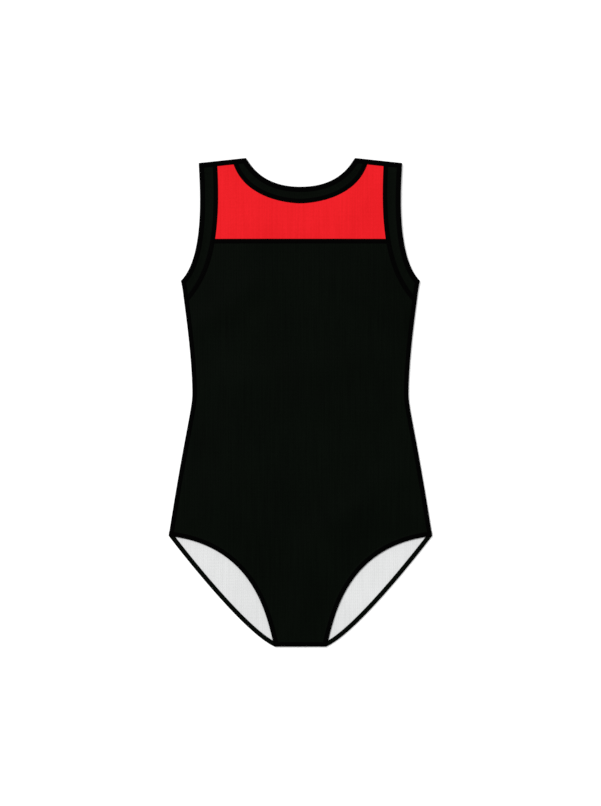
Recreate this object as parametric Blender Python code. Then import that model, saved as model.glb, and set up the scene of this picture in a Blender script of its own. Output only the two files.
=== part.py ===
"""A sleeveless leotard laid flat, front up, with a coloured yoke and banded openings.

Sizes are in millimetres, as on a cutting table: x from the centre front, y up from the
crotch seam, z up from the surface that the garment lies on. Left and right are the
wearer's own, so the wearer's left lies at +x.
"""

import math
from collections import namedtuple

import bmesh
import bpy
import numpy as np

MM = 0.001

# Layers from the surface up, each clear of the next: back, seat lining, front
PANEL = 1.2
LINING = 1.0
GAP = 0.3
TOP = PANEL + GAP + LINING + GAP + PANEL

# At a closed seam the front rolls down and the back rolls up, to meet at mid height
ROLL = 2.2
ROLL_TURNS = (45, 90)
RIM = 0.6
FRONT_RIM = (TOP + GAP) / 2
BACK_RIM = (TOP - GAP) / 2

# The folded edge of a band or hem is rounded, and the front swells softly inside its edges
FOLD_DROP = 0.6
SWELL = 2.0
SWELL_REACH = 80.0

# Where seams and edges meet, as (x, y) on the wearer's left half
LENGTH = 720.0
CROTCH = (0.0, 0.0)
CROTCH_END = (37.6, 0.0)
HIP = (194.0, 163.3)
WAIST = (159.2, 372.5)
ARMBAND_FOOT = (171.2, 508.5)
UNDERARM = (176.0, 539.0)
SHOULDER_TIP = (149.6, 712.6)
NECK_POINT = (80.6, LENGTH)
NECK_BASE = (0.0, 677.5)
NECKBAND_BASE = (0.0, 657.3)
YOKE_HEIGHT = 597.6


def on_shoulder(x):
    """The point of the straight shoulder seam at a distance from the centre front."""
    slope = (SHOULDER_TIP[1] - NECK_POINT[1]) / (SHOULDER_TIP[0] - NECK_POINT[0])
    return (x, NECK_POINT[1] + slope * (x - NECK_POINT[0]))


NECKBAND_TOP = on_shoulder(96.5)
ARMBAND_TOP = on_shoulder(126.5)

# Leave and arrive are angles in degrees from +x, and each pull is that handle's length
Curve = namedtuple("Curve", "start end leave arrive leave_pull arrive_pull steps")
NECK_EDGE = Curve(NECK_BASE, NECK_POINT, 0.0, 49.3, 60.2, 7.3, 12)
NECK_SEAM = Curve(NECKBAND_BASE, NECKBAND_TOP, 0.0, 76.2, 9.1, 59.6, 12)
ARM_EDGE = Curve(UNDERARM, SHOULDER_TIP, 135.2, 90.8, 54.9, 14.0, 16)
ARM_SEAM = Curve(ARMBAND_FOOT, ARMBAND_TOP, 133.6, 86.6, 51.2, 115.8, 16)
SIDE_TO_WAIST = Curve(HIP, WAIST, 98.9, 90.0, 157.8, 22.6, 6)
SIDE_TO_ARMBAND = Curve(WAIST, ARMBAND_FOOT, 90.0, 82.4, 45.0, 30.0, 4)
SIDE_OF_ARMBAND = Curve(ARMBAND_FOOT, UNDERARM, 82.4, 75.7, 10.0, 10.0, 2)
FRONT_LEG = Curve(CROTCH_END, HIP, 63.4, 6.3, 20.0, 141.0, 16)
BACK_LEG = Curve(CROTCH_END, HIP, 23.2, 53.3, 50.6, 14.7, 14)

# Columns of points across a straight seam, and how far rows arch up at the hips
BODY_COLUMNS = 12
SHOULDER_STEPS = 2
BODY_ARCH = 60.0
LINING_ARCH = 30.0

SEAT_LINING_HEIGHT = 240.0
SEAT_LINING_INSET = 3.0

# A turned hem, from the leg edge inwards: heights are above the layer that it lies on
HemPoint = namedtuple("HemPoint", "inset lower upper")
HEM_SECTION = (
    HemPoint(0.0, 0.0, 0.9),
    HemPoint(0.8, 0.0, 1.9),
    HemPoint(2.2, LINING + GAP, LINING + GAP + 1.0),
    HemPoint(4.5, LINING + GAP, LINING + GAP + 1.0),
    HemPoint(6.0, LINING + GAP, LINING + GAP + 0.7),
)

Cloth = namedtuple("Cloth", "name colour roughness")
BLACK_TRICOT = Cloth("Black tricot", "090D09", 0.55)
RED_TRICOT = Cloth("Red tricot", "EB1F26", 0.5)
PALE_LINING = Cloth("Pale lining", "E3E4E4", 0.7)


def reach(edge):
    """The share of an edge's length at each of its points."""
    steps = np.linalg.norm(np.diff(edge, axis=0), axis=1)
    travelled = np.concatenate(((0.0,), np.cumsum(steps)))
    return travelled / travelled[-1]


def along(edge, shares):
    """Points at shares of an edge's length."""
    travelled = reach(edge)
    return np.stack([np.interp(shares, travelled, edge[:, k]) for k in (0, 1)], axis=-1)


def straight(start, end, steps):
    return along(np.array((start, end)), np.linspace(0, 1, steps + 1))


def traced(curve, fineness=400):
    """Points evenly along a curve, one more than its steps."""

    def handle(angle, pull):
        turn = math.radians(angle)
        return pull * np.array((math.cos(turn), math.sin(turn)))

    start = np.array(curve.start)
    end = np.array(curve.end)
    first = start + handle(curve.leave, curve.leave_pull)
    last = end - handle(curve.arrive, curve.arrive_pull)
    t = np.linspace(0, 1, fineness)[:, None]
    s = 1 - t
    smooth = s**3 * start + 3 * s**2 * t * first + 3 * s * t**2 * last + t**3 * end
    return along(smooth, np.linspace(0, 1, curve.steps + 1))


def joined(*edges):
    """Edges that follow on from each other, as one."""
    return np.vstack([edges[0]] + [edge[1:] for edge in edges[1:]])


def mirrored(edge):
    return edge * (-1, 1)


def whole(half):
    """A half edge that starts at the centre, with its mirror image, from -x to +x."""
    return joined(mirrored(half)[::-1], half)


def below(edge, height):
    """The part of a rising edge that lies below a height."""
    x = np.interp(height, edge[:, 1], edge[:, 0])
    return np.vstack((edge[edge[:, 1] < height], (x, height)))


def above(edge, height):
    """The part of a rising edge that lies above a height."""
    x = np.interp(height, edge[:, 1], edge[:, 0])
    return np.vstack(((x, height), edge[edge[:, 1] > height]))


def distance(points, edges):
    """How far each point lies from the nearest of some edges."""
    nearest = np.full(points.shape[:-1], np.inf)
    for edge in edges:
        for start, end in zip(edge[:-1], edge[1:]):
            run = end - start
            share = np.clip((points - start) @ run / (run @ run), 0, 1)
            foot = start + share[..., None] * run
            nearest = np.minimum(nearest, np.linalg.norm(points - foot, axis=-1))
    return nearest


def left_normals(line):
    """Directions square to each step of a line, to its left."""
    step = np.diff(line, axis=0)
    step = step / np.linalg.norm(step, axis=1, keepdims=True)
    return np.stack((-step[:, 1], step[:, 0]), axis=-1)


def mitre(before, after):
    """The move that shifts both steps at a corner inwards by one."""
    return (before + after) / (1 + (before * after).sum(axis=-1, keepdims=True))


def drawn_in(edges, depth):
    """The four edges of a piece, in order round it, moved inwards by a depth."""
    loop = np.vstack([edge[:-1] for edge in edges])
    normals = left_normals(np.vstack((loop, loop[:1])))
    moved = loop + depth * mitre(np.roll(normals, 1, axis=0), normals)
    moved = np.vstack((moved, moved[:1]))
    ends = np.cumsum([0] + [len(edge) - 1 for edge in edges])
    return [moved[start : end + 1] for start, end in zip(ends[:-1], ends[1:])]


def parallel(line, depth):
    """A line moved to its left by a depth."""
    normals = left_normals(line)
    before = np.vstack((normals[:1], normals))
    after = np.vstack((normals, normals[-1:]))
    return line + depth * mitre(before, after)


def symmetric(bottom_half, side, top_half):
    """The four edges of a piece across the centre front, in order round it."""
    return [whole(bottom_half), side, whole(top_half)[::-1], mirrored(side)[::-1]]


def spanned(edges):
    """Points between four edges: rows from bottom to top, columns from left to right."""
    bottom, right, top, left = edges
    top = top[::-1]
    left = left[::-1]
    u = ((reach(bottom) + reach(top)) / 2)[None, :, None]
    v = ((reach(left) + reach(right)) / 2)[:, None, None]
    ruled = (1 - v) * bottom + v * top + (1 - u) * left[:, None] + u * right[:, None]
    low = (1 - u) * bottom[0] + u * bottom[-1]
    high = (1 - u) * top[0] + u * top[-1]
    return ruled - (1 - v) * low - v * high


def arched(plan, hip_row, height):
    """Rows that arch up at the centre, most at the hips, so that they meet the legs squarely."""
    rows, columns = plan.shape[:2]
    row = np.arange(rows)[:, None]
    share = np.where(row < hip_row, row / hip_row, (rows - 1 - row) / (rows - 1 - hip_row))
    across = np.linspace(-1, 1, columns)
    plan = plan.copy()
    plan[..., 1] += height * share**2 * (3 - 2 * share) * (1 - across**2)
    return plan


def finer(plan, lines):
    """A grid of points with more rows where a wall rolls, beside each row that is named.

    Lines are (row, way) pairs, from the last row to the first, where way is 1 for the
    rows just after it and -1 for those just before it.
    """
    for row, way in lines:
        row = row % len(plan)
        run = plan[row + way] - plan[row]
        length = np.linalg.norm(run, axis=-1, keepdims=True)
        depths = [ROLL * (1 - math.cos(math.radians(turn))) for turn in ROLL_TURNS]
        extra = [plan[row] + run * depth / length for depth in depths]
        place = row + 1 if way > 0 else row
        plan = np.insert(plan, place, extra[::way], axis=0)
    return plan


def finer_across(plan, lines):
    """The same for columns."""
    return finer(plan.transpose(1, 0, 2), lines).transpose(1, 0, 2)


BOTH_ENDS = ((-1, -1), (0, 1))


def quarter(depths):
    """The rise of a quarter round, from 0 at its foot to 1 on the flat."""
    share = np.clip((depths - GAP / 2) / ROLL, 0, 1)
    return np.sqrt(1 - (1 - share) ** 2)


class Layers:
    """Lower and upper heights of the walls over any points of the plan."""

    def __init__(self, seams, outline):
        """Seams are the closed edges, and outline is all round the front."""
        self.seams = seams
        self.outline = outline

    def swell(self, plan):
        share = np.clip(distance(plan, self.outline) / SWELL_REACH, 0, 1)
        return SWELL * share**2 * (3 - 2 * share)

    def front(self, plan, folds=()):
        """One thickness of cloth, rounded at its folds."""
        rolled = quarter(distance(plan, self.seams))
        lower = FRONT_RIM + (TOP - PANEL - FRONT_RIM) * rolled
        upper = FRONT_RIM + RIM + (TOP - FRONT_RIM - RIM) * rolled
        drop = FOLD_DROP * (1 - quarter(distance(plan, folds))) * rolled
        swell = self.swell(plan)
        return lower + swell, upper + swell - drop

    def front_band(self, plan, folds):
        """Cloth folded double, down to the back's band."""
        upper = self.front(plan, folds)[1]
        return FRONT_RIM + self.swell(plan), upper

    def back(self, plan, folds=()):
        rolled = quarter(distance(plan, self.seams))
        lower = (BACK_RIM - RIM) * (1 - rolled)
        upper = PANEL + (BACK_RIM - PANEL) * (1 - rolled)
        rise = FOLD_DROP * (1 - quarter(distance(plan, folds))) * rolled
        return lower + rise, upper

    def back_band(self, plan, folds):
        lower = self.back(plan, folds)[0]
        return lower, np.full(lower.shape, BACK_RIM)

    def over_back(self, plan, lower, upper):
        """What lies on the back, at heights above it."""
        base = self.back(plan)[1] + GAP
        return base + lower, base + upper


def slab(name, plan, heights, material, collection):
    """A closed wall over a grid of plan points, from its lower to its upper heights."""
    rows, columns = plan.shape[:2]
    lower, upper = heights
    shape = bmesh.new()
    bmesh.ops.create_grid(shape, x_segments=columns - 1, y_segments=rows - 1, size=1)
    place = shape.verts.layers.int.new("place")
    for number, vertex in enumerate(shape.verts):
        vertex[place] = number
    raised = bmesh.ops.extrude_face_region(shape, geom=shape.faces[:])["geom"]
    top = {item for item in raised if isinstance(item, bmesh.types.BMVert)}
    for vertex in shape.verts:
        row, column = divmod(vertex[place], columns)
        x, y = plan[row, column]
        z = (upper if vertex in top else lower)[row, column]
        vertex.co = (x * MM, (y - LENGTH / 2) * MM, z * MM)
    bmesh.ops.recalc_face_normals(shape, faces=shape.faces[:])
    shape.verts.layers.int.remove(place)

    mesh = bpy.data.meshes.new(name)
    shape.to_mesh(mesh)
    shape.free()
    mesh.shade_smooth()
    mesh.set_sharp_from_angle(angle=math.radians(40))
    mesh.materials.append(material)
    collection.objects.link(bpy.data.objects.new(name, mesh))


def material_of(cloth):
    """A plain material in a cloth's colour, which is given as sRGB hex."""

    def linear(channel):
        share = int(channel, 16) / 255
        return share / 12.92 if share <= 0.04045 else ((share + 0.055) / 1.055) ** 2.4

    material = bpy.data.materials.new(cloth.name)
    material.use_nodes = True
    shader = material.node_tree.nodes["Principled BSDF"]
    colour = [linear(cloth.colour[k : k + 2]) for k in (0, 2, 4)]
    shader.inputs["Base Color"].default_value = (*colour, 1)
    shader.inputs["Roughness"].default_value = cloth.roughness
    shader.inputs["Metallic"].default_value = 0
    return material


def neckband_plan(neck_edge, neck_seam):
    edges = symmetric(neck_seam, straight(NECKBAND_TOP, NECK_POINT, 2), neck_edge)
    plan = spanned(drawn_in(edges, GAP / 2))
    return finer(finer_across(plan, BOTH_ENDS), ((-1, -1),))


def armband_plan(arm_edge, arm_seam):
    side = traced(SIDE_OF_ARMBAND)
    edges = [side, arm_edge, straight(SHOULDER_TIP, ARMBAND_TOP, 2), arm_seam[::-1]]
    plan = spanned(drawn_in(edges, GAP / 2))
    return finer_across(finer(plan, BOTH_ENDS), ((-1, -1),))


def yoke_plan(neck_seam, arm_seam):
    top_half = joined(neck_seam, straight(NECKBAND_TOP, ARMBAND_TOP, SHOULDER_STEPS))
    side = above(arm_seam, YOKE_HEIGHT)
    bottom_half = along(np.array(((0, YOKE_HEIGHT), side[0])), reach(top_half))
    plan = spanned(drawn_in(symmetric(bottom_half, side, top_half), GAP / 2))
    return finer(plan, ((-1, -1),))


def front_body_plan(front_leg, side_seam, arm_seam):
    chain = joined(front_leg, side_seam, below(arm_seam, YOKE_HEIGHT))
    hip_row = len(front_leg) - 1
    foot_row = hip_row + len(side_seam) - 1
    bottom_half = straight(CROTCH, CROTCH_END, BODY_COLUMNS // 2)
    top_half = straight((0, YOKE_HEIGHT), chain[-1], BODY_COLUMNS // 2)
    plan = spanned(drawn_in(symmetric(bottom_half, chain, top_half), GAP / 2))
    plan = arched(plan, hip_row, BODY_ARCH)
    return finer(finer_across(plan, BOTH_ENDS), ((foot_row, 1), (hip_row, -1), (0, 1)))


def back_panel_plan(back_leg, side_seam, arm_seam, neck_seam):
    chain = joined(back_leg, side_seam, arm_seam)
    hip_row = len(back_leg) - 1
    foot_row = hip_row + len(side_seam) - 1
    top_half = joined(neck_seam, straight(NECKBAND_TOP, ARMBAND_TOP, SHOULDER_STEPS))
    bottom_half = along(np.array((CROTCH, CROTCH_END)), reach(top_half))
    plan = spanned(drawn_in(symmetric(bottom_half, chain, top_half), GAP / 2))
    plan = arched(plan, hip_row, BODY_ARCH)
    lines = ((-1, -1), (foot_row, 1), (hip_row, -1), (0, 1))
    return finer(finer_across(plan, BOTH_ENDS), lines)


def seat_lining_plan(back_leg, side_seam):
    chain = joined(back_leg, below(side_seam, SEAT_LINING_HEIGHT))
    bottom_half = straight(CROTCH, CROTCH_END, BODY_COLUMNS // 2)
    top_half = straight((0, SEAT_LINING_HEIGHT), chain[-1], BODY_COLUMNS // 2)
    edges = symmetric(bottom_half, chain, top_half)
    return arched(spanned(drawn_in(edges, SEAT_LINING_INSET)), len(back_leg) - 1, LINING_ARCH)


def leg_hem_plan(back_leg, front_leg):
    """A strip inside the back's leg edge, cut short where the front covers it."""

    def first_clear(start, end):
        points = straight(start, end, 400)
        covered = np.interp(points[:, 0], front_leg[:, 0], front_leg[:, 1])
        clear = (points[:, 1] < covered) & (distance(points, [front_leg]) > GAP)
        return points[clear][0]

    lines = []
    for point in HEM_SECTION:
        line = parallel(back_leg, point.inset + GAP / 2)
        line[0] = first_clear(line[0], line[1])
        line[-1] = first_clear(line[-1], line[-2])
        lines.append(line)
    return np.stack(lines, axis=1)


def main():
    for thing in list(bpy.data.objects):
        bpy.data.objects.remove(thing)
    collection = bpy.data.collections.new("Leotard")
    bpy.context.scene.collection.children.link(collection)
    black = material_of(BLACK_TRICOT)
    red = material_of(RED_TRICOT)
    pale = material_of(PALE_LINING)

    neck_edge = traced(NECK_EDGE)
    neck_seam = traced(NECK_SEAM)
    arm_edge = traced(ARM_EDGE)
    arm_seam = traced(ARM_SEAM)
    side_seam = joined(traced(SIDE_TO_WAIST), traced(SIDE_TO_ARMBAND))
    whole_side = joined(side_seam, traced(SIDE_OF_ARMBAND))
    front_leg = traced(FRONT_LEG)
    back_leg = traced(BACK_LEG)

    left_seams = [straight(NECK_POINT, SHOULDER_TIP, 1), whole_side]
    seams = left_seams + [mirrored(edge) for edge in left_seams]
    seams.append(whole(straight(CROTCH, CROTCH_END, 1)))
    left_folds = [neck_edge, arm_edge, front_leg]
    folds = left_folds + [mirrored(edge) for edge in left_folds]
    layers = Layers(seams, seams + folds)

    def add(name, plan, heights, material):
        slab(name, plan, heights, material, collection)

    plan = back_panel_plan(back_leg, side_seam, arm_seam, neck_seam)
    add("back_panel", plan, layers.back(plan), black)
    plan = seat_lining_plan(back_leg, side_seam)
    add("seat_lining", plan, layers.over_back(plan, 0, LINING), pale)
    plan = front_body_plan(front_leg, side_seam, arm_seam)
    add("front_body", plan, layers.front(plan, folds), black)
    plan = yoke_plan(neck_seam, arm_seam)
    add("front_yoke", plan, layers.front(plan), red)

    plan = neckband_plan(neck_edge, neck_seam)
    add("neckband_front", plan, layers.front_band(plan, folds), black)
    add("neckband_back", plan, layers.back_band(plan, folds), black)
    armband = armband_plan(arm_edge, arm_seam)
    leg_hem = leg_hem_plan(back_leg, front_leg)
    lower = np.array([point.lower for point in HEM_SECTION])
    upper = np.array([point.upper for point in HEM_SECTION])
    for side, way in (("left", 1), ("right", -1)):
        plan = armband * (way, 1)
        add("armband_front_" + side, plan, layers.front_band(plan, folds), black)
        add("armband_back_" + side, plan, layers.back_band(plan, folds), black)
        plan = leg_hem * (way, 1)
        add("leg_hem_" + side, plan, layers.over_back(plan, lower, upper), black)


main()
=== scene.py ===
"""Looks of a sleeveless leotard laid flat, front up: black body, red yoke, pale seat lining.

Sizes are in millimetres, as on the cutting table and in the part's source: x from the centre
front, y up from the crotch seam, z up from the surface that the garment lies on. Left and
right are the wearer's own, so the wearer's left lies at +x.
"""

import math
from collections import namedtuple

import bmesh
import bpy
import numpy as np
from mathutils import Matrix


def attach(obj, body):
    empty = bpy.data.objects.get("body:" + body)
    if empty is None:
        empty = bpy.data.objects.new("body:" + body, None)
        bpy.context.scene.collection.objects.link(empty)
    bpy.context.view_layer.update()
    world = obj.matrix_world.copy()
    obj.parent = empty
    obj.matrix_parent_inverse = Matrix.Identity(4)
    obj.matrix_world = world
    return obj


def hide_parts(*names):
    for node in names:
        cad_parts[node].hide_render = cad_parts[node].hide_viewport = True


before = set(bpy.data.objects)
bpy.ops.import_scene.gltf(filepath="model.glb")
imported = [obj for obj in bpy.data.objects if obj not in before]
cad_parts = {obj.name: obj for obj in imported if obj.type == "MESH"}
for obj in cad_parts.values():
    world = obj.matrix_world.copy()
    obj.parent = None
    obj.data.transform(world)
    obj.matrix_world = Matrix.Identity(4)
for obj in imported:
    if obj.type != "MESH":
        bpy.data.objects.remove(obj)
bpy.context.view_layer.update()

MM = 0.001
BODY = "root"

# Where seams and edges meet, as (x, y) on the wearer's left half
LENGTH = 720.0
CROTCH = (0.0, 0.0)
CROTCH_END = (37.6, 0.0)
HIP = (194.0, 163.3)
WAIST = (159.2, 372.5)
ARMBAND_FOOT = (171.2, 508.5)
UNDERARM = (176.0, 539.0)
SHOULDER_TIP = (149.6, 712.6)
NECK_POINT = (80.6, LENGTH)
NECK_BASE = (0.0, 677.5)
NECKBAND_BASE = (0.0, 657.3)
YOKE_HEIGHT = 597.6
SEAT_LINING_HEIGHT = 240.0
SEAT_LINING_INSET = 3.0


def on_shoulder(x):
    """The point of the straight shoulder seam at a distance from the centre front."""
    slope = (SHOULDER_TIP[1] - NECK_POINT[1]) / (SHOULDER_TIP[0] - NECK_POINT[0])
    return (x, NECK_POINT[1] + slope * (x - NECK_POINT[0]))


NECKBAND_TOP = on_shoulder(96.5)
ARMBAND_TOP = on_shoulder(126.5)

# Leave and arrive are angles in degrees from +x, and each pull is that handle's length
Curve = namedtuple("Curve", "start end leave arrive leave_pull arrive_pull")
NECK_EDGE = Curve(NECK_BASE, NECK_POINT, 0.0, 49.3, 60.2, 7.3)
NECK_SEAM = Curve(NECKBAND_BASE, NECKBAND_TOP, 0.0, 76.2, 9.1, 59.6)
ARM_EDGE = Curve(UNDERARM, SHOULDER_TIP, 135.2, 90.8, 54.9, 14.0)
ARM_SEAM = Curve(ARMBAND_FOOT, ARMBAND_TOP, 133.6, 86.6, 51.2, 115.8)
SIDE_TO_WAIST = Curve(HIP, WAIST, 98.9, 90.0, 157.8, 22.6)
SIDE_TO_ARMBAND = Curve(WAIST, ARMBAND_FOOT, 90.0, 82.4, 45.0, 30.0)
SIDE_OF_ARMBAND = Curve(ARMBAND_FOOT, UNDERARM, 82.4, 75.7, 10.0, 10.0)
FRONT_LEG = Curve(CROTCH_END, HIP, 63.4, 6.3, 20.0, 141.0)
BACK_LEG = Curve(CROTCH_END, HIP, 23.2, 53.3, 50.6, 14.7)

# Layers from the surface up: the back, the seat lining on it, and the front over both. At a
# closed seam the front and the back meet in thin rims, and each rolls away from the other
PANEL = 0.8
SEAM_GAP = 0.3
BACK_LIFT = 0.35
LINING_FOOT = 1.5
LINING = 0.8
LINING_LOOSE = 0.25
FRONT_TOP = 4.0
MEET = 2.0
MEET_GAP = 0.04
RIM = 0.75
ROLL = 2.2

# The front swells softly inside its edges, as the part's solids do
SWELL = 2.0
SWELL_REACH = 80.0

# Cloth doubled at a fold is thicker there, and its edge is round
FOLD_WALL = 1.5
FOLD_DROP = 0.7
FOLD_ROLL = 1.1
BAND_RISE = 0.35
BAND_FLAT = 8.0
BAND_STEP = 5.0
HEM_RISE = 0.35
HEM_FLAT = 6.2
HEM_STEP = 1.2

# Elastic in the edges draws them into small puckers, which die out a little way in
PUCKER = 0.4
PUCKER_PITCH = 8.5
PUCKER_REACH = 15.0
PUCKER_DRIFT = 1.9
PUCKER_DRIFT_PITCH = 61.0
PUCKER_EVEN = 0.6
PUCKER_SPELL = 31.0

# Soft ridges where the cloth lies a little loose, as (centre x, y, turn in degrees, half
# length, half width, height), and the power that says how squarely they end
RIDGE_ENDS = 4
Ridge = namedtuple("Ridge", "x y turn long wide height")
RIDGES = (
    Ridge(104, 514, 148, 88, 24, 1.7),
    Ridge(-112, 500, 36, 80, 22, 1.5),
    Ridge(-36, 398, 6, 112, 26, 1.3),
    Ridge(58, 352, -8, 90, 24, 1.2),
    Ridge(92, 214, 38, 96, 26, 1.6),
    Ridge(-86, 196, 143, 100, 28, 1.5),
    Ridge(8, 96, 92, 62, 16, 0.9),
    Ridge(-58, 634, 104, 46, 18, 0.9),
    Ridge(66, 628, 74, 44, 16, 0.8),
)

# How far apart the points of a sheet lie, with closer ones at its ends, and how many points
# a curve is traced with
PITCH = 3.2
EDGE_DEPTHS = (0.0, 0.15, 0.45, 0.95, 1.7, 2.8)
DISTANCE_PITCH = 5.0
CURVE_POINTS = 400
HEM_POINTS = 2000

# Faces that meet at more degrees than this are shaded with a sharp edge
SHARP_ANGLE = 50.0

# A flatlock seam: a flat strip of thread over the join, with two needle rows in it. It is
# wider at the shoulders and where it turns down over a band's fold. Its flatness is the power
# of its curve across, its section is in half widths, and a stitch is as (long, wide, high)
FLATLOCK = 6.9
WIDE_FLATLOCK = 7.8
FLATLOCK_RISE = 0.22
FLATLOCK_SINK = 0.2
FLATLOCK_FLATNESS = 4
FLATLOCK_SECTION = (-1.0, -0.94, -0.78, -0.4, 0.0, 0.4, 0.78, 0.94, 1.0)
NEEDLE_ROW = 2.3
STITCH_PITCH = 2.9
NEEDLE_STITCH = (2.3, 0.75, 0.55)
LOOPER_STITCH = (4.9, 0.7, 0.5)
LOOPER_SLANT = 58.0
STITCH_SIDES = 6
STITCH_RINGS = 4

# The thread stands a little proud of an edge that it goes round, lies a little to the
# panel's side of a band's seam, ends inside other threads, and runs a little past corners
EDGE_INSET = 3.2
WIDE_INSET = 3.6
SEAM_SHIFT = 0.7
SEAM_FOOT = 4.5
SEAM_END = 0.6
CORNER = 0.3

# The back's turned hem over the lining, from the leg edge inwards, as heights above the back
HemPoint = namedtuple("HemPoint", "inset lower upper")
BACK_HEM = (
    HemPoint(-0.5, 0.3, 0.5),
    HemPoint(-0.4, 0.0, 1.0),
    HemPoint(-0.1, -0.2, 1.5),
    HemPoint(0.4, 0.2, 1.9),
    HemPoint(1.0, 0.2, 2.15),
    HemPoint(1.8, 1.1, 2.4),
    HemPoint(2.8, 1.35, 2.5),
    HemPoint(4.2, 1.35, 2.48),
    HemPoint(5.3, 1.35, 2.4),
    HemPoint(6.0, 1.35, 2.25),
    HemPoint(6.35, 1.38, 2.0),
    HemPoint(6.45, 1.5, 1.65),
)

# The rows of the hem's section where its threads lie
HEM_NEEDLES = (1.0, 5.3)
HEM_LOOPER = 2.8

# The camera looks straight down, from where the garment fills the frame as in the photo: at
# its aim, a height above the surface, a pixel is this many millimetres
FRAME_PIXELS = 806
PIXEL = 1.4742
CAMERA_X = 0.07
CAMERA_Y = -0.9
CAMERA_AIM = 3.0
LENS = 100.0
SENSOR = 36.0

# An even sky and one broad soft light, whose turn and width are in degrees
SKY_LIGHT = 0.5
KEY_LIGHT = 2.08
KEY_TURN = (-40.0, 0.0, 40.0)
KEY_SOFTNESS = 28.0

# The floor's size in metres, and how far it lies below the garment in millimetres
FLOOR_SIZE = 16.0
FLOOR_DEPTH = 0.05

SIDES = (("left", 1), ("right", -1))

# A material, with the name of the record's slot that it goes with
Finish = namedtuple("Finish", "material slot")

# A knitted cloth: its colours in sRGB hex, its wales and courses in millimetres, its
# roughness and how far that varies, its sheen, its specular level and how strong its relief is
Cloth = namedtuple("Cloth", "name slot dark light wale course rough grain sheen specular relief")

# Nylon and elastane tricot, dyed black: a smooth close knit with a faint satin sheen. Its
# wales are 0.5 mm apart, and are drawn at 2.4 mm so that they show in the render
BLACK_TRICOT = Cloth(
    "Black nylon tricot", "black_tricot", "010301", "060C06", 2.4, 1.9, 0.5, 0.1, 0.015, 0.02, 0.35
)

# The same tricot dyed red, a little glossier where its loops turn. Its wales are 0.5 mm
# apart, and are drawn at 2.4 mm so that they show in the render
RED_TRICOT = Cloth(
    "Red nylon tricot", "red_tricot", "E0151B", "F8212A", 2.4, 1.9, 0.48, 0.1, 0.02, 0.04, 0.35
)

# Soft undyed polyester lining knit: matt and even, with a fine flat rib. Its wales are
# 0.7 mm apart, and are drawn at 2.8 mm so that they show in the render
PALE_LINING = Cloth(
    "Pale polyester lining", "pale_lining", "D8D9D9", "EEEFEF", 2.8, 2.2, 0.75, 0.08, 0.0, 0.2, 0.4
)

# The map that every piece carries, in metres along its own cloth
OWN_MAP = "Cloth"

# A knit's loops: how far their legs lean, the level that they swing about and how far, how
# sharp the wales' edges are, and how deep the loops are drawn, in millimetres
LOOP_LEAN = 1.2
LOOP_LEVEL = 0.5
LOOP_SWING = 0.25
WALE_POWER = 2.0
LOOP_DEPTH = 0.5

# Noise, in cycles a metre: streaks along the wales, about 3 mm wide and 80 mm long, slow
# clouds about 110 mm across, which paint an uneven sheen into the colour, and flecks of the
# yarn. A fleck is under 0.5 mm across, and is drawn at about 2.4 mm so that it shows in the
# render
STREAK_SCALE = (300.0, 12.0, 1.0)
STREAK_DETAIL = 2.0
CLOUD_SCALE = 9.0
CLOUD_DETAIL = 3.0
FLECK_SCALE = 420.0
FLECK_DETAIL = 1.0

# What the loops, streaks, clouds and flecks count for in a cloth's shade, the sums at which
# it is darkest and lightest, and what the streaks count for in its relief. Through the loops
# the colour holds painted shade in the knit's grooves and a painted highlight on its raised
# loops, the clouds paint an uneven sheen, and the streaks and flecks are the yarn's own tone
SHADE_WEIGHTS = (0.4, 0.22, 0.23, 0.15)
DARKEST = 0.32
LIGHTEST = 0.62
STREAK_RELIEF = 0.3

# Strands of black thread: their width and depth in millimetres, how far they slant, and
# their colour and roughness in the dips and on the tops. The colour is painted shade in the
# dips and a painted highlight on the tops
STRAND = 1.5
STRAND_DEPTH = 0.15
STRAND_SLANT = 0.8
STRAND_RELIEF = 0.3
STRAND_DIP_SHADE = "000000"
STRAND_TOP_HIGHLIGHT = "040404"
STRAND_ROUGH = (0.65, 0.5)
STRAND_SPECULAR = 0.01

# Paper for the floor, which glows a little so that it shows as white as in the photo
PAPER_COLOUR = "FFFFFF"
PAPER_ROUGH = (0.85, 0.95)
PAPER_SPECULAR = 0.1
PAPER_GLOW = 0.25


def reach(edge):
    """The share of an edge's length at each of its points."""
    steps = np.linalg.norm(np.diff(edge, axis=0), axis=1)
    travelled = np.concatenate(((0.0,), np.cumsum(steps)))
    return travelled / travelled[-1]


def length_of(edge):
    return np.linalg.norm(np.diff(edge, axis=0), axis=1).sum()


def along(edge, shares):
    """Points at shares of an edge's length."""
    travelled = reach(edge)
    return np.stack([np.interp(shares, travelled, edge[:, k]) for k in (0, 1)], axis=-1)


def evenly_many(edge, count):
    return along(edge, np.linspace(0, 1, count))


def evenly(edge, pitch):
    """An edge with its points about a pitch apart."""
    return evenly_many(edge, max(2, round(length_of(edge) / pitch)) + 1)


def fine_ended(edge):
    """An edge with points a pitch apart, and closer ones where it ends."""
    length = length_of(edge)
    depths = np.array(EDGE_DEPTHS)
    inner = length - 2 * depths[-1]
    middle = depths[-1] + np.linspace(0, inner, max(2, round(inner / PITCH)) + 1)
    places = np.concatenate((depths[:-1], middle, length - depths[-2::-1]))
    return along(edge, places / length)


def straight(start, end):
    return np.array((start, end), dtype=float)


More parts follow.
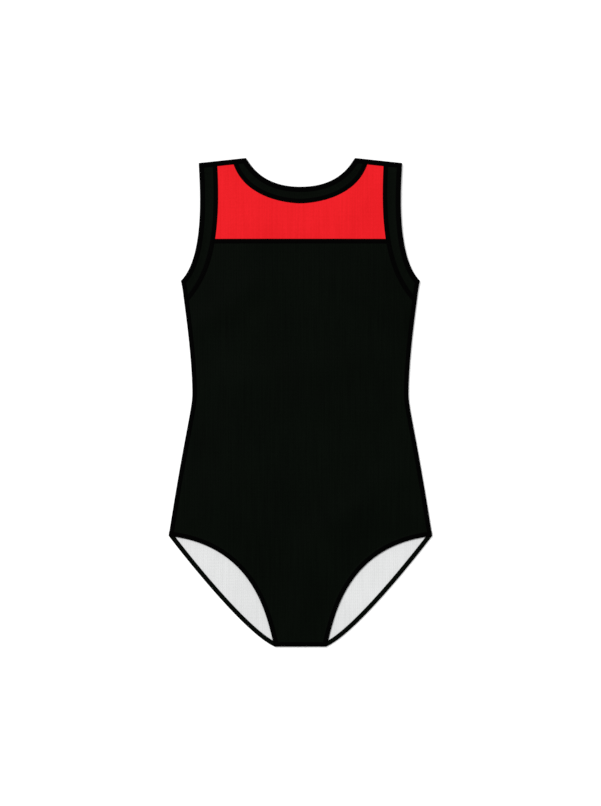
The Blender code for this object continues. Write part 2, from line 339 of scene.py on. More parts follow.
def traced(curve):
    """Many points along a curve."""

    def handle(angle, pull):
        turn = math.radians(angle)
        return pull * np.array((math.cos(turn), math.sin(turn)))

    start = np.array(curve.start)
    end = np.array(curve.end)
    first = start + handle(curve.leave, curve.leave_pull)
    last = end - handle(curve.arrive, curve.arrive_pull)
    t = np.linspace(0, 1, CURVE_POINTS)[:, None]
    s = 1 - t
    return s**3 * start + 3 * s**2 * t * first + 3 * s * t**2 * last + t**3 * end


def joined(*edges):
    """Edges that follow on from each other, as one."""
    return np.vstack([edges[0]] + [edge[1:] for edge in edges[1:]])


def mirrored(edge):
    return edge * (-1, 1)


def whole(half):
    """A half edge that starts at the centre, with its mirror image, from -x to +x."""
    return joined(mirrored(half)[::-1], half)


def below(edge, height):
    """The part of a rising edge that lies below a height."""
    x = np.interp(height, edge[:, 1], edge[:, 0])
    return np.vstack((edge[edge[:, 1] < height], (x, height)))


def above(edge, height):
    """The part of a rising edge that lies above a height."""
    x = np.interp(height, edge[:, 1], edge[:, 0])
    return np.vstack(((x, height), edge[edge[:, 1] > height]))


def nearest(points, line):
    """How far each point lies from a line, and how far along it the nearest place is."""
    away = np.full(points.shape[:-1], np.inf)
    place = np.zeros(points.shape[:-1])
    travelled = 0.0
    for start, end in zip(line[:-1], line[1:]):
        run = end - start
        length = np.linalg.norm(run)
        share = np.clip((points - start) @ run / length**2, 0, 1)
        here = np.linalg.norm(points - start - share[..., None] * run, axis=-1)
        closer = here < away
        away = np.where(closer, here, away)
        place = np.where(closer, travelled + share * length, place)
        travelled += length
    return away, place


def distance(points, edges):
    return np.min([nearest(points, edge)[0] for edge in edges], axis=0)


def left_normals(line):
    """Directions square to each step of a line, to its left."""
    step = np.diff(line, axis=0)
    step = step / np.linalg.norm(step, axis=1, keepdims=True)
    return np.stack((-step[:, 1], step[:, 0]), axis=-1)


def mitre(before, after):
    """The move that shifts both steps at a corner inwards by one."""
    return (before + after) / (1 + (before * after).sum(axis=-1, keepdims=True))


def drawn_in(edges, depth):
    """The four edges of a piece, in order round it, moved inwards by a depth."""
    loop = np.vstack([edge[:-1] for edge in edges])
    normals = left_normals(np.vstack((loop, loop[:1])))
    moved = loop + depth * mitre(np.roll(normals, 1, axis=0), normals)
    moved = np.vstack((moved, moved[:1]))
    ends = np.cumsum([0] + [len(edge) - 1 for edge in edges])
    return [moved[start : end + 1] for start, end in zip(ends[:-1], ends[1:])]


def parallel(line, depth):
    """A line moved to its left by a depth."""
    normals = left_normals(line)
    before = np.vstack((normals[:1], normals))
    after = np.vstack((normals, normals[-1:]))
    return line + depth * mitre(before, after)


def symmetric(bottom_half, side, top_half):
    """The four edges of a piece across the centre front, in order round it."""
    return [whole(bottom_half), side, whole(top_half)[::-1], mirrored(side)[::-1]]


def spanned(edges):
    """Points between four edges: rows from bottom to top, columns from left to right."""
    bottom, right, top, left = edges
    top = top[::-1]
    left = left[::-1]
    u = ((reach(bottom) + reach(top)) / 2)[None, :, None]
    v = ((reach(left) + reach(right)) / 2)[:, None, None]
    ruled = (1 - v) * bottom + v * top + (1 - u) * left[:, None] + u * right[:, None]
    low = (1 - u) * bottom[0] + u * bottom[-1]
    high = (1 - u) * top[0] + u * top[-1]
    return ruled - (1 - v) * low - v * high


def smooth(share):
    """An even rise from 0 to 1 that starts and ends level."""
    share = np.clip(share, 0, 1)
    return share**2 * (3 - 2 * share)


def quarter(depths, roll):
    """The rise of a quarter round, from 0 at its foot to 1 on the flat."""
    share = np.clip((depths - SEAM_GAP / 2) / roll, 0, 1)
    return np.sqrt(1 - (1 - share) ** 2)


def ridges(points):
    """The height that the soft ridges add."""
    height = np.zeros(points.shape[:-1])
    for ridge in RIDGES:
        turn = math.radians(ridge.turn)
        offset = points - (ridge.x, ridge.y)
        lengthways = offset @ (math.cos(turn), math.sin(turn)) / ridge.long
        across = offset @ (-math.sin(turn), math.cos(turn)) / ridge.wide
        height += ridge.height * np.exp(-(lengthways**RIDGE_ENDS) - across**2)
    return height


def puckers(points, folds):
    """The height of the small puckers that elastic makes along the folds."""
    height = np.zeros(points.shape[:-1])
    for fold in folds:
        away, place = nearest(points, fold)
        drift = PUCKER_DRIFT * np.sin(math.tau * place / PUCKER_DRIFT_PITCH)
        wave = (1 + np.sin(math.tau * place / PUCKER_PITCH + drift)) / 2
        uneven = PUCKER_EVEN + (1 - PUCKER_EVEN) * np.sin(math.tau * place / PUCKER_SPELL)
        height += PUCKER * uneven * wave * (1 - smooth(away / PUCKER_REACH))
    return height


class Layers:
    """Heights of the cloth over any points of the plan."""

    def __init__(self, seams, bands, hems):
        """Seams are the closed edges, bands the folds of the bands, and hems the front's legs."""
        self.seams = [evenly(edge, DISTANCE_PITCH) for edge in seams]
        self.bands = [evenly(edge, DISTANCE_PITCH) for edge in bands]
        self.hems = [evenly(edge, DISTANCE_PITCH) for edge in hems]
        self.folds = self.bands + self.hems

    def front(self, plan):
        """Lower and upper heights of the front, from its closed seams to its folds."""
        from_seam = distance(plan, self.seams)
        from_band = distance(plan, self.bands)
        from_hem = distance(plan, self.hems)
        from_fold = np.minimum(from_band, from_hem)
        rolled = quarter(from_seam, ROLL)
        swell = SWELL * smooth(np.minimum(from_seam, from_fold) / SWELL_REACH)
        loose = (puckers(plan, self.folds) + ridges(plan)) * smooth(from_seam / PUCKER_REACH)
        doubled = BAND_RISE * (1 - smooth((from_band - BAND_FLAT) / BAND_STEP))
        doubled = doubled + HEM_RISE * (1 - smooth((from_hem - HEM_FLAT) / HEM_STEP))
        drop = FOLD_DROP * (1 - quarter(from_fold, FOLD_ROLL))
        rim = MEET + MEET_GAP / 2 + RIM
        level = rim + (FRONT_TOP - rim) * rolled + swell + loose
        wall = PANEL + (FOLD_WALL - PANEL) * (1 - smooth(from_fold / PUCKER_REACH))
        wall = RIM + (wall - RIM) * rolled
        upper = level + (doubled - drop) * rolled
        lower = level - wall + drop * rolled
        return lower, np.maximum(upper, lower + MEET_GAP)

    def front_top(self, plan):
        return self.front(plan)[1]

    def front_band(self, plan):
        """Cloth folded double, down to the back's band."""
        upper = self.front(plan)[1]
        return np.full(upper.shape, MEET + MEET_GAP / 2), upper

    def back(self, plan):
        """Lower and upper heights of the back."""
        rolled = quarter(distance(plan, self.seams), ROLL)
        drop = FOLD_DROP * (1 - quarter(distance(plan, self.folds), FOLD_ROLL)) * rolled / 2
        rim = MEET - MEET_GAP / 2 - RIM
        lower = rim + (BACK_LIFT - rim) * rolled + drop
        upper = lower + RIM + (PANEL - RIM) * rolled - drop
        return lower, upper

    def back_bottom(self, plan):
        return self.back(plan)[0]

    def back_band(self, plan):
        lower = self.back(plan)[0]
        return lower, np.full(lower.shape, MEET - MEET_GAP / 2)

    def back_hem(self, plan):
        """The turned hem, over a plan whose rows are those of its section."""
        base = self.back(plan)[1]
        lower = np.array([point.lower for point in BACK_HEM])[:, None]
        upper = np.array([point.upper for point in BACK_HEM])[:, None]
        return base + lower, base + upper


def arc_map(plan):
    """Metres along a strip's columns and across its rows, for its own UV map."""
    middle = plan[len(plan) // 2]
    lengthways = reach(middle) * length_of(middle)
    steps = np.linalg.norm(np.diff(plan, axis=0), axis=-1)
    across = np.vstack((np.zeros((1, plan.shape[1])), np.cumsum(steps, axis=0)))
    return np.stack(np.broadcast_arrays(lengthways[None, :], across), axis=-1) * MM


def grid_faces(rows, columns):
    """The faces of a closed slab: its upper grid, its lower one, and the wall round them."""
    number = np.arange(rows * columns).reshape(rows, columns)
    lower = rows * columns
    corners = [number[:-1, :-1], number[:-1, 1:], number[1:, 1:], number[1:, :-1]]
    top = np.stack([corner.ravel() for corner in corners], axis=1)
    bottom = top[:, ::-1] + lower
    sides = (number[0, :-1], number[:-1, -1], number[-1, :0:-1], number[:0:-1, 0])
    ring = np.concatenate(sides)
    after = np.roll(ring, -1)
    wall = np.stack((ring + lower, after + lower, after, ring), axis=1)
    return np.concatenate((top, bottom, wall))


def new_piece(name, points, faces, flat_map, finish):
    """A closed mesh in its place, with its own map in metres, that rides on the body."""
    mesh = bpy.data.meshes.new(name)
    place = (points - (0, LENGTH / 2, 0)) * MM
    mesh.from_pydata(place.tolist(), [], faces.tolist())
    shape = bmesh.new()
    shape.from_mesh(mesh)
    bmesh.ops.recalc_face_normals(shape, faces=shape.faces[:])
    if shape.calc_volume(signed=True) < 0:
        bmesh.ops.reverse_faces(shape, faces=shape.faces[:])
    shape.to_mesh(mesh)
    shape.free()
    layer = mesh.uv_layers.new(name=OWN_MAP)
    corners = np.empty(len(mesh.loops), dtype=np.int32)
    mesh.loops.foreach_get("vertex_index", corners)
    layer.data.foreach_set("uv", flat_map[corners].astype(np.float32).ravel())
    mesh.shade_smooth()
    mesh.set_sharp_from_angle(angle=math.radians(SHARP_ANGLE))
    mesh.materials.append(finish.material)
    piece = bpy.data.objects.new(name, mesh)
    bpy.context.scene.collection.objects.link(piece)
    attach(piece, BODY)
    return piece


def shell(name, plan, heights, finish, flat_map=None):
    """A closed thin wall over a grid of plan points."""
    rows, columns = plan.shape[:2]
    lower, upper = heights
    grids = [np.concatenate((plan, z[..., None]), axis=-1).reshape(-1, 3) for z in (upper, lower)]
    flat = plan * MM if flat_map is None else flat_map
    flat = np.tile(flat.reshape(-1, 2), (2, 1))
    return new_piece(name, np.vstack(grids), grid_faces(rows, columns), flat, finish)


def lay(node):
    """Hide a part's solid, whose place a sheet laid flat and cut to its own plan takes."""
    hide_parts(node)


def lowest_first(corners):
    """A face's corners in their order round it, from the lowest number on."""
    corners = list(corners)
    first = corners.index(min(corners))
    return corners[first:] + corners[:first]


def modelled_stitch(size):
    """The points and faces of one stitch, a slim round thread that lies along x.

    Blender numbers a sphere's faces in another order each run, so they are sorted.
    """
    bpy.ops.object.select_all(action="DESELECT")
    bpy.ops.mesh.primitive_uv_sphere_add(
        segments=STITCH_SIDES, ring_count=STITCH_RINGS, radius=0.5
    )
    bpy.ops.object.mode_set(mode="EDIT")
    bpy.ops.mesh.select_all(action="SELECT")
    bpy.ops.transform.rotate(value=math.pi / 2, orient_axis="Y", center_override=(0, 0, 0))
    bpy.ops.transform.resize(value=size)
    bpy.ops.mesh.quads_convert_to_tris()
    bpy.ops.object.mode_set(mode="OBJECT")
    stitch = bpy.context.object
    mesh = stitch.data
    points = np.array([vertex.co for vertex in mesh.vertices])
    faces = np.array(sorted(lowest_first(face.vertices) for face in mesh.polygons))
    bpy.data.objects.remove(stitch)
    bpy.data.meshes.remove(mesh)
    return points, faces


class Sewing:
    """Black thread on the cloth: flatlock strips, and rows of modelled stitches."""

    def __init__(self, finish):
        self.finish = finish
        self.needle = modelled_stitch(NEEDLE_STITCH)
        self.looper = modelled_stitch(LOOPER_STITCH)

    def copies(self, stitch, line, height_of, slants=(0.0,)):
        """Copies of a stitch a pitch apart along a line; their slants take turns."""
        shape, faces = stitch
        line = evenly(line, STITCH_PITCH)
        middles = (line[:-1] + line[1:]) / 2
        ahead = np.diff(line, axis=0)
        turns = np.arctan2(ahead[:, 1], ahead[:, 0]) + np.radians(np.resize(slants, len(ahead)))
        cosine = np.cos(turns)[:, None]
        sine = np.sin(turns)[:, None]
        x = middles[:, :1] + cosine * shape[:, 0] - sine * shape[:, 1]
        y = middles[:, 1:] + sine * shape[:, 0] + cosine * shape[:, 1]
        z = np.maximum(height_of(middles)[:, None] + shape[:, 2], 0.0)
        points = np.stack((x, y, z), axis=-1).reshape(-1, 3)
        firsts = len(shape) * np.arange(len(middles))[:, None, None]
        flat_map = np.tile(shape[:, :2] * MM, (len(middles), 1))
        return points, (faces + firsts).reshape(-1, 3), flat_map

    def rows(self, name, needle_lines, looper_line, height_of):
        """Needle rows, with a looper thread that zigzags between them where one is given."""
        parts = [self.copies(self.needle, line, height_of) for line in needle_lines]
        if looper_line is not None:
            slants = (LOOPER_SLANT, -LOOPER_SLANT)
            parts.append(self.copies(self.looper, looper_line, height_of, slants))
        firsts = np.cumsum([0] + [len(points) for points, _, _ in parts])
        faces = [part[1] + first for part, first in zip(parts, firsts)]
        points = np.vstack([part[0] for part in parts])
        flat_map = np.vstack([part[2] for part in parts])
        return new_piece(name, points, np.vstack(faces), flat_map, self.finish)

    def flatlock(self, name, line, height_of, way=1, width=FLATLOCK, foot=None):
        """A flat strip of thread along a line, with its stitches. Way is -1 underneath.

        Where a foot is given, the edge to the line's right reaches down to that height.
        """
        middle = fine_ended(line)
        plan = np.stack([parallel(middle, share * width / 2) for share in FLATLOCK_SECTION])
        level = height_of(plan)
        dome = FLATLOCK_RISE * (1 - np.array(FLATLOCK_SECTION) ** FLATLOCK_FLATNESS)[:, None]
        outer = np.maximum(level + way * dome, 0.0)
        inner = level - way * FLATLOCK_SINK
        if foot is not None:
            inner[0] = foot
        heights = (inner, outer) if way > 0 else (outer, inner)
        strip = shell(name, plan, heights, self.finish, arc_map(plan))

        def on_strip(points):
            return height_of(points) + way * FLATLOCK_RISE

        needle_lines = [parallel(line, offset) for offset in (-NEEDLE_ROW, NEEDLE_ROW)]
        return [strip, self.rows(name + "_stitches", needle_lines, line, on_strip)]


def linear(code):
    """A colour in sRGB hex, as the linear colour that a shader takes."""
    shares = [int(code[k : k + 2], 16) / 255 for k in (0, 2, 4)]
    light = [s / 12.92 if s <= 0.04045 else ((s + 0.055) / 1.055) ** 2.4 for s in shares]
    return (*light, 1.0)


def add(tree, kind, inputs=None, out=0, **settings):
    """A node with its settings, and its inputs as values or links. Gives one of its outputs."""
    node = tree.nodes.new("ShaderNode" + kind)
    for name, value in settings.items():
        setattr(node, name, value)
    for key, value in (inputs or {}).items():
        if isinstance(value, bpy.types.NodeSocket):
            tree.links.new(value, node.inputs[key])
        else:
            node.inputs[key].default_value = value
    return node.outputs[out]


def knit(tree, place, wale, course):
    """The relief of a knit: columns of V-shaped loops. Wale and course are in millimetres."""
    parts = add(tree, "SeparateXYZ", {0: place}).node.outputs
    across = add(tree, "Math", {0: parts[0], 1: wale * MM}, operation="DIVIDE")
    within = add(tree, "Math", {0: across}, operation="FRACT")
    centred = add(tree, "Math", {0: within, 1: 0.5}, operation="SUBTRACT")
    from_middle = add(tree, "Math", {0: centred}, operation="ABSOLUTE")
    up = add(tree, "Math", {0: parts[1], 1: course * MM}, operation="DIVIDE")
    leant = add(tree, "Math", {0: from_middle, 1: LOOP_LEAN, 2: up}, operation="MULTIPLY_ADD")
    turned = add(tree, "Math", {0: leant, 1: math.tau}, operation="MULTIPLY")
    legs = add(tree, "Math", {0: turned}, operation="SINE")
    swing = {0: legs, 1: LOOP_SWING, 2: LOOP_LEVEL}
    raised = add(tree, "Math", swing, operation="MULTIPLY_ADD")
    groove = add(tree, "Math", {0: from_middle, 1: WALE_POWER}, operation="POWER")
    return add(tree, "Math", {0: groove, 1: -1.0, 2: raised}, operation="MULTIPLY_ADD")


def mixed(tree, weights):
    """A weighted sum of values."""
    total = 0.0
    for value, weight in weights:
        total = add(tree, "Math", {0: value, 1: weight, 2: total}, operation="MULTIPLY_ADD")
    return total


def new_material(name):
    """A material, with its nodes and its shader."""
    material = bpy.data.materials.new(name)
    material.use_nodes = True
    return material, material.node_tree, material.node_tree.nodes["Principled BSDF"]


def join_shader(tree, shader, colour, rough, relief):
    tree.links.new(colour, shader.inputs["Base Color"])
    tree.links.new(rough, shader.inputs["Roughness"])
    tree.links.new(relief, shader.inputs["Normal"])


def cloth_finish(cloth):
    """A knitted cloth, with its loops in colour, gloss and relief. In the colour the loops are
    painted shade in their grooves and a painted highlight on their tops, and slow clouds paint
    an uneven sheen.
    """
    material, tree, shader = new_material(cloth.name)
    own = add(tree, "UVMap", uv_map=OWN_MAP)
    place = add(tree, "TexCoord", out=3)
    loops = knit(tree, own, cloth.wale, cloth.course)
    drawn = add(tree, "Mapping", {"Vector": own, "Scale": STREAK_SCALE})
    streak = add(tree, "TexNoise", {"Vector": drawn, "Scale": 1.0, "Detail": STREAK_DETAIL})
    painted_sheen_cloud = add(tree, "TexNoise", {"Vector": place, "Scale": CLOUD_SCALE, "Detail": CLOUD_DETAIL})
    fleck = add(tree, "TexNoise", {"Vector": place, "Scale": FLECK_SCALE, "Detail": FLECK_DETAIL})
    # The colour's mix: painted shade in the knit's grooves and a painted highlight on its loops,
    # painted uneven sheen from the clouds, and the yarn's own tone from the streaks and flecks
    shade = mixed(tree, zip((loops, streak, painted_sheen_cloud, fleck), SHADE_WEIGHTS))
    share = add(tree, "MapRange", {"Value": shade, "From Min": DARKEST, "From Max": LIGHTEST})
    ends = {0: share, 6: linear(cloth.dark), 7: linear(cloth.light)}
    colour = add(tree, "Mix", ends, out=2, data_type="RGBA")
    low = cloth.rough - cloth.grain
    high = cloth.rough + cloth.grain
    rough = add(tree, "MapRange", {"Value": streak, "To Min": low, "To Max": high})
    height = mixed(tree, ((loops, 1.0), (streak, STREAK_RELIEF)))
    depth = LOOP_DEPTH * MM
    relief = add(tree, "Bump", {"Height": height, "Strength": cloth.relief, "Distance": depth})
    join_shader(tree, shader, colour, rough, relief)
    shader.inputs["Specular IOR Level"].default_value = cloth.specular
    shader.inputs["Sheen Weight"].default_value = cloth.sheen
    return Finish(material, cloth.slot)


def thread_finish():
    """Textured polyester thread, dyed black: soft strands laid close, nearly matt, with painted
    shade in the dips between them and a painted highlight on their tops.

    The strands are 0.3 mm thick, and are drawn at 1.5 mm so that they show in the render.
    """
    material, tree, shader = new_material("Black textured thread")
    own = add(tree, "UVMap", uv_map=OWN_MAP)
    parts = add(tree, "SeparateXYZ", {0: own}).node.outputs
    slant = {0: parts[1], 1: STRAND_SLANT, 2: parts[0]}
    slanted = add(tree, "Math", slant, operation="MULTIPLY_ADD")
    turned = add(tree, "Math", {0: slanted, 1: math.tau / (STRAND * MM)}, operation="MULTIPLY")
    strands = add(tree, "Math", {0: turned}, operation="SINE")
    share = add(tree, "MapRange", {"Value": strands, "From Min": -1.0})
    # Painted shade in the dips between the strands, and a painted highlight on their tops
    ends = {0: share, 6: linear(STRAND_DIP_SHADE), 7: linear(STRAND_TOP_HIGHLIGHT)}
    colour = add(tree, "Mix", ends, out=2, data_type="RGBA")
    depth = STRAND_DEPTH * MM
    relief = add(tree, "Bump", {"Height": strands, "Strength": STRAND_RELIEF, "Distance": depth})
    dips, tops = STRAND_ROUGH
    rough = add(tree, "MapRange", {"Value": share, "To Min": dips, "To Max": tops})
    join_shader(tree, shader, colour, rough, relief)
    shader.inputs["Specular IOR Level"].default_value = STRAND_SPECULAR
    return Finish(material, BLACK_TRICOT.slot)


def paper_material():
    """A sheet of plain matt paper, white, for the floor."""
    material, tree, shader = new_material("White paper")
    place = add(tree, "TexCoord", out=3)
    grain = add(tree, "TexNoise", {"Vector": place, "Scale": FLECK_SCALE})
    low, high = PAPER_ROUGH
    rough = add(tree, "MapRange", {"Value": grain, "To Min": low, "To Max": high})
    tree.links.new(rough, shader.inputs["Roughness"])
    shader.inputs["Base Color"].default_value = linear(PAPER_COLOUR)
    shader.inputs["Specular IOR Level"].default_value = PAPER_SPECULAR
    shader.inputs["Emission Color"].default_value = linear(PAPER_COLOUR)
    shader.inputs["Emission Strength"].default_value = PAPER_GLOW
    return material


def neckband_plan(lines):
    seam = fine_ended(lines["neck_seam"])
    edge = along(lines["neck_edge"], reach(seam))
    side = fine_ended(straight(NECKBAND_TOP, NECK_POINT))
    return spanned(drawn_in(symmetric(seam, side, edge), SEAM_GAP / 2))


def armband_plan(lines):
    """Rows along the band and columns across it."""
    edge = fine_ended(lines["arm_edge"])
    seam = along(lines["arm_seam"], reach(edge))
    foot = fine_ended(traced(SIDE_OF_ARMBAND))
    top = along(straight(SHOULDER_TIP, ARMBAND_TOP), 1 - reach(foot)[::-1])
    return spanned(drawn_in([foot, edge, top, seam[::-1]], SEAM_GAP / 2))


def upper_half(lines):
    """The top of the yoke and of the back, from the centre along the neck to the armband."""
    return joined(fine_ended(lines["neck_seam"]), fine_ended(straight(NECKBAND_TOP, ARMBAND_TOP)))


def panel_plan(bottom_end, side, top_half):
    """A panel across the centre front, between a straight bottom, two sides and its top."""
    bottom_half = along(straight((0, bottom_end[1]), bottom_end), reach(top_half))
    return spanned(drawn_in(symmetric(bottom_half, side, top_half), SEAM_GAP / 2))


def yoke_plan(lines):
    side = fine_ended(above(lines["arm_seam"], YOKE_HEIGHT))
    return panel_plan(side[0], side, upper_half(lines))


def front_body_plan(lines):
    arm = fine_ended(below(lines["arm_seam"], YOKE_HEIGHT))
    side = joined(fine_ended(lines["front_leg"]), fine_ended(lines["side_seam"]), arm)
    return panel_plan(CROTCH_END, side, fine_ended(straight((0, YOKE_HEIGHT), side[-1])))


def back_panel_plan(lines):
    arm = fine_ended(lines["arm_seam"])
    side = joined(fine_ended(lines["back_leg"]), fine_ended(lines["side_seam"]), arm)
    return panel_plan(CROTCH_END, side, upper_half(lines))


def seat_lining_plan(lines):
    side = fine_ended(below(lines["side_seam"], SEAT_LINING_HEIGHT))
    chain = joined(fine_ended(lines["back_leg"]), side)
    top_half = fine_ended(straight((0, SEAT_LINING_HEIGHT), chain[-1]))
    bottom_half = along(straight(CROTCH, CROTCH_END), reach(top_half))
    return spanned(drawn_in(symmetric(bottom_half, chain, top_half), SEAT_LINING_INSET))


def back_hem_plan(lines):
    """Rows inside the back's leg edge, cut short where the front covers them."""
    back_leg = evenly(lines["back_leg"], PITCH)
    front_leg = evenly(lines["front_leg"], PITCH)
    rows = []
    for point in BACK_HEM:
        line = evenly_many(parallel(back_leg, point.inset + SEAM_GAP / 2), HEM_POINTS)
        covered = np.interp(line[:, 0], front_leg[:, 0], front_leg[:, 1])
        clear = (line[:, 1] < covered) & (distance(line, [front_leg]) > SEAM_GAP / 2)
        rows.append(evenly_many(line[clear], len(back_leg)))
    return np.stack(rows)


def inside(line, depth):
    """A line moved into the cloth, which lies to its left."""
    return parallel(evenly(line, STITCH_PITCH), depth)


def edging(line, depth):
    """The middle of a strip inside an edge, which runs a little past the edge's corners."""
    first = line[0] - line[1]
    last = line[-1] - line[-2]
    start = line[0] + CORNER * first / np.linalg.norm(first)
    end = line[-1] + CORNER * last / np.linalg.norm(last)
    return inside(np.vstack((start, line, end)), depth)


def without_ends(line, first, last):
    """A line with a length in millimetres taken off at each end."""
    length = length_of(line)
    kept = evenly_many(line, CURVE_POINTS)
    places = reach(kept) * length
    return kept[(places >= first) & (places <= length - last)]


def add_camera():
    data = bpy.data.cameras.new("Camera")
    data.lens = LENS
    data.sensor_fit = "VERTICAL"
    data.sensor_height = SENSOR
    data.dof.use_dof = False
    camera = bpy.data.objects.new("Camera", data)
    away = FRAME_PIXELS * PIXEL * LENS / SENSOR
    camera.location = (CAMERA_X * MM, CAMERA_Y * MM, (away + CAMERA_AIM) * MM)
    bpy.context.scene.collection.objects.link(camera)
    bpy.context.scene.camera = camera


def add_light():
    """An even pale sky, and one broad soft light from the upper left."""
    world = bpy.data.worlds.new("Studio")
    world.use_nodes = True
    sky = world.node_tree.nodes["Background"]
    sky.inputs["Color"].default_value = (1, 1, 1, 1)
    sky.inputs["Strength"].default_value = SKY_LIGHT
    bpy.context.scene.world = world
    data = bpy.data.lights.new("Key", "SUN")
    data.energy = KEY_LIGHT
    data.angle = math.radians(KEY_SOFTNESS)
    key = bpy.data.objects.new("Key", data)
    key.rotation_euler = [math.radians(turn) for turn in KEY_TURN]
    bpy.context.scene.collection.objects.link(key)
    bpy.context.scene.view_settings.view_transform = "Standard"


def add_floor():
    bpy.ops.mesh.primitive_plane_add(size=FLOOR_SIZE, location=(0, 0, -FLOOR_DEPTH * MM))
    floor = bpy.context.object
    floor.name = "floor"
    floor.data.materials.append(paper_material())


def add_back(lines, layers, black, sewing):
    """The back, with the turned hems of its leg edges and the stitches that hold them."""
    plan = back_panel_plan(lines)
    back = shell("back_cloth", plan, layers.back(plan), black)
    half = back_hem_plan(lines)
    on_back = []
    for side, way in SIDES:
        hem = half * (way, 1)
        leg = evenly(lines["back_leg"] * (way, 1), PITCH)
        strip = shell("back_leg_hem_" + side, hem, layers.back_hem(hem), black, arc_map(hem))
        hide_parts("leg_hem_" + side)
        insets = [point.inset for point in BACK_HEM]
        tops = [point.upper for point in BACK_HEM]

        def hem_top(points):
            depth = distance(points, [leg]) - SEAM_GAP / 2
            return layers.back(points)[1] + np.interp(depth, insets, tops)

        needles = [hem[insets.index(inset)] for inset in HEM_NEEDLES]
        looper = hem[insets.index(HEM_LOOPER)]
        on_back += [strip, sewing.rows("back_leg_stitches_" + side, needles, looper, hem_top)]
        needles = [inside(lines["back_leg"], inset) * (way, 1) for inset in HEM_NEEDLES]
        name = "back_leg_stitches_under_" + side
        on_back.append(sewing.rows(name, needles, None, layers.back_bottom))
    lay("back_panel")


def add_seat_lining(lines, pale):
    plan = seat_lining_plan(lines)
    loose = LINING_LOOSE * ridges(plan)
    foot = np.full(loose.shape, LINING_FOOT)
    lining = shell("seat_lining_cloth", plan, (foot, foot + LINING + loose), pale)
    lay("seat_lining")


def add_front_body(lines, layers, black, sewing):
    plan = front_body_plan(lines)
    front = shell("front_cloth", plan, layers.front(plan), black)
    top = layers.front_top
    yoke_end = above(lines["arm_seam"], YOKE_HEIGHT)[0]
    threads = sewing.flatlock("yoke_seam", whole(straight((0, YOKE_HEIGHT), yoke_end)), top)
    crotch = edging(whole(straight(CROTCH, CROTCH_END)), EDGE_INSET)
    threads += sewing.flatlock("crotch_seam", crotch, top)
    for side, way in SIDES:
        seam = edging(lines["whole_side"], EDGE_INSET) * (way, 1)
        threads += sewing.flatlock("side_seam_" + side, seam, top)
        leg = edging(lines["front_leg"], EDGE_INSET) * (way, 1)
        threads += sewing.flatlock("front_leg_edge_" + side, leg, top)
    lay("front_body")


def add_yoke(lines, layers, red, sewing):
    plan = yoke_plan(lines)
    yoke = shell("yoke_cloth", plan, layers.front(plan), red)
    threads = []
    for side, way in SIDES:
        seam = (edging(lines["shoulder"], WIDE_INSET) * (way, 1))[::way]
        name = "shoulder_seam_" + side
        top = layers.front_top
        threads += sewing.flatlock(name, seam, top, width=WIDE_FLATLOCK, foot=MEET)
    lay("front_yoke")


def add_neckband(lines, layers, black, sewing):
    """The neckband's front and back halves, each with its seam and its edge."""
    plan = neckband_plan(lines)
    seam = inside(whole(without_ends(lines["neck_seam"], 0, SEAM_END)), -SEAM_SHIFT)
    edge = edging(whole(lines["neck_edge"])[::-1], WIDE_INSET)
    halves = (
        ("front", layers.front_band(plan), layers.front_top, 1, "neckband_back"),
        ("back", layers.back_band(plan), layers.back_bottom, -1, "floor"),
    )
    for half, heights, height_of, way, below_it in halves:
        band = shell("neckband_" + half + "_cloth", plan, heights, black, arc_map(plan))
        threads = sewing.flatlock("neck_seam_" + half, seam, height_of, way)
        threads += sewing.flatlock("neck_edge_" + half, edge, height_of, way, WIDE_FLATLOCK)
        lay("neckband_" + half)


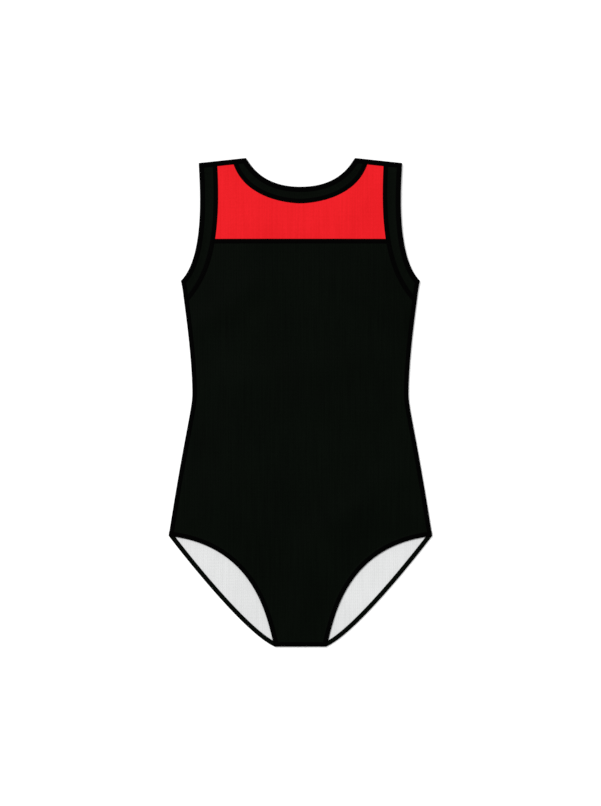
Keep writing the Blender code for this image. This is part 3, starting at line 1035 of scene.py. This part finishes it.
def add_armbands(lines, layers, black, sewing):
    """Each armband's front and back halves, each with its seam and its edge."""
    plan_left = armband_plan(lines)
    flat = arc_map(plan_left.transpose(1, 0, 2)).transpose(1, 0, 2)
    seam_left = inside(without_ends(lines["arm_seam"], SEAM_FOOT, SEAM_END), SEAM_SHIFT / 2)
    edge_left = edging(lines["arm_edge"], WIDE_INSET)
    for side, way_out in SIDES:
        plan = plan_left * (way_out, 1)
        halves = (
            ("front", layers.front_band(plan), layers.front_top, 1, "armband_back_" + side),
            ("back", layers.back_band(plan), layers.back_bottom, -1, "floor"),
        )
        for half, heights, height_of, way, below_it in halves:
            name = half + "_" + side
            band = shell("armband_" + name + "_cloth", plan, heights, black, flat)
            seam = seam_left * (way_out, 1)
            edge = edge_left * (way_out, 1)
            threads = sewing.flatlock("arm_seam_" + name, seam, height_of, way)
            threads += sewing.flatlock("arm_edge_" + name, edge, height_of, way, WIDE_FLATLOCK)
            lay("armband_" + name)


def named_lines():
    """The garment's seams and edges on the wearer's left half."""
    side_seam = joined(traced(SIDE_TO_WAIST), traced(SIDE_TO_ARMBAND))
    return {
        "neck_edge": traced(NECK_EDGE),
        "neck_seam": traced(NECK_SEAM),
        "arm_edge": traced(ARM_EDGE),
        "arm_seam": traced(ARM_SEAM),
        "side_seam": side_seam,
        "whole_side": joined(side_seam, traced(SIDE_OF_ARMBAND)),
        "front_leg": traced(FRONT_LEG),
        "back_leg": traced(BACK_LEG),
        "shoulder": straight(SHOULDER_TIP, NECK_POINT),
    }


def both(lines, *names):
    """The named lines with their mirror images."""
    halves = [lines[name] for name in names]
    return halves + [mirrored(half) for half in halves]


def main():
    add_camera()
    add_light()
    add_floor()
    black = cloth_finish(BLACK_TRICOT)
    red = cloth_finish(RED_TRICOT)
    pale = cloth_finish(PALE_LINING)
    sewing = Sewing(thread_finish())

    lines = named_lines()
    seams = both(lines, "shoulder", "whole_side")
    seams.append(whole(straight(CROTCH, CROTCH_END)))
    layers = Layers(seams, both(lines, "neck_edge", "arm_edge"), both(lines, "front_leg"))
    add_back(lines, layers, black, sewing)
    add_seat_lining(lines, pale)
    add_front_body(lines, layers, black, sewing)
    add_yoke(lines, layers, red, sewing)
    add_neckband(lines, layers, black, sewing)
    add_armbands(lines, layers, black, sewing)


main()
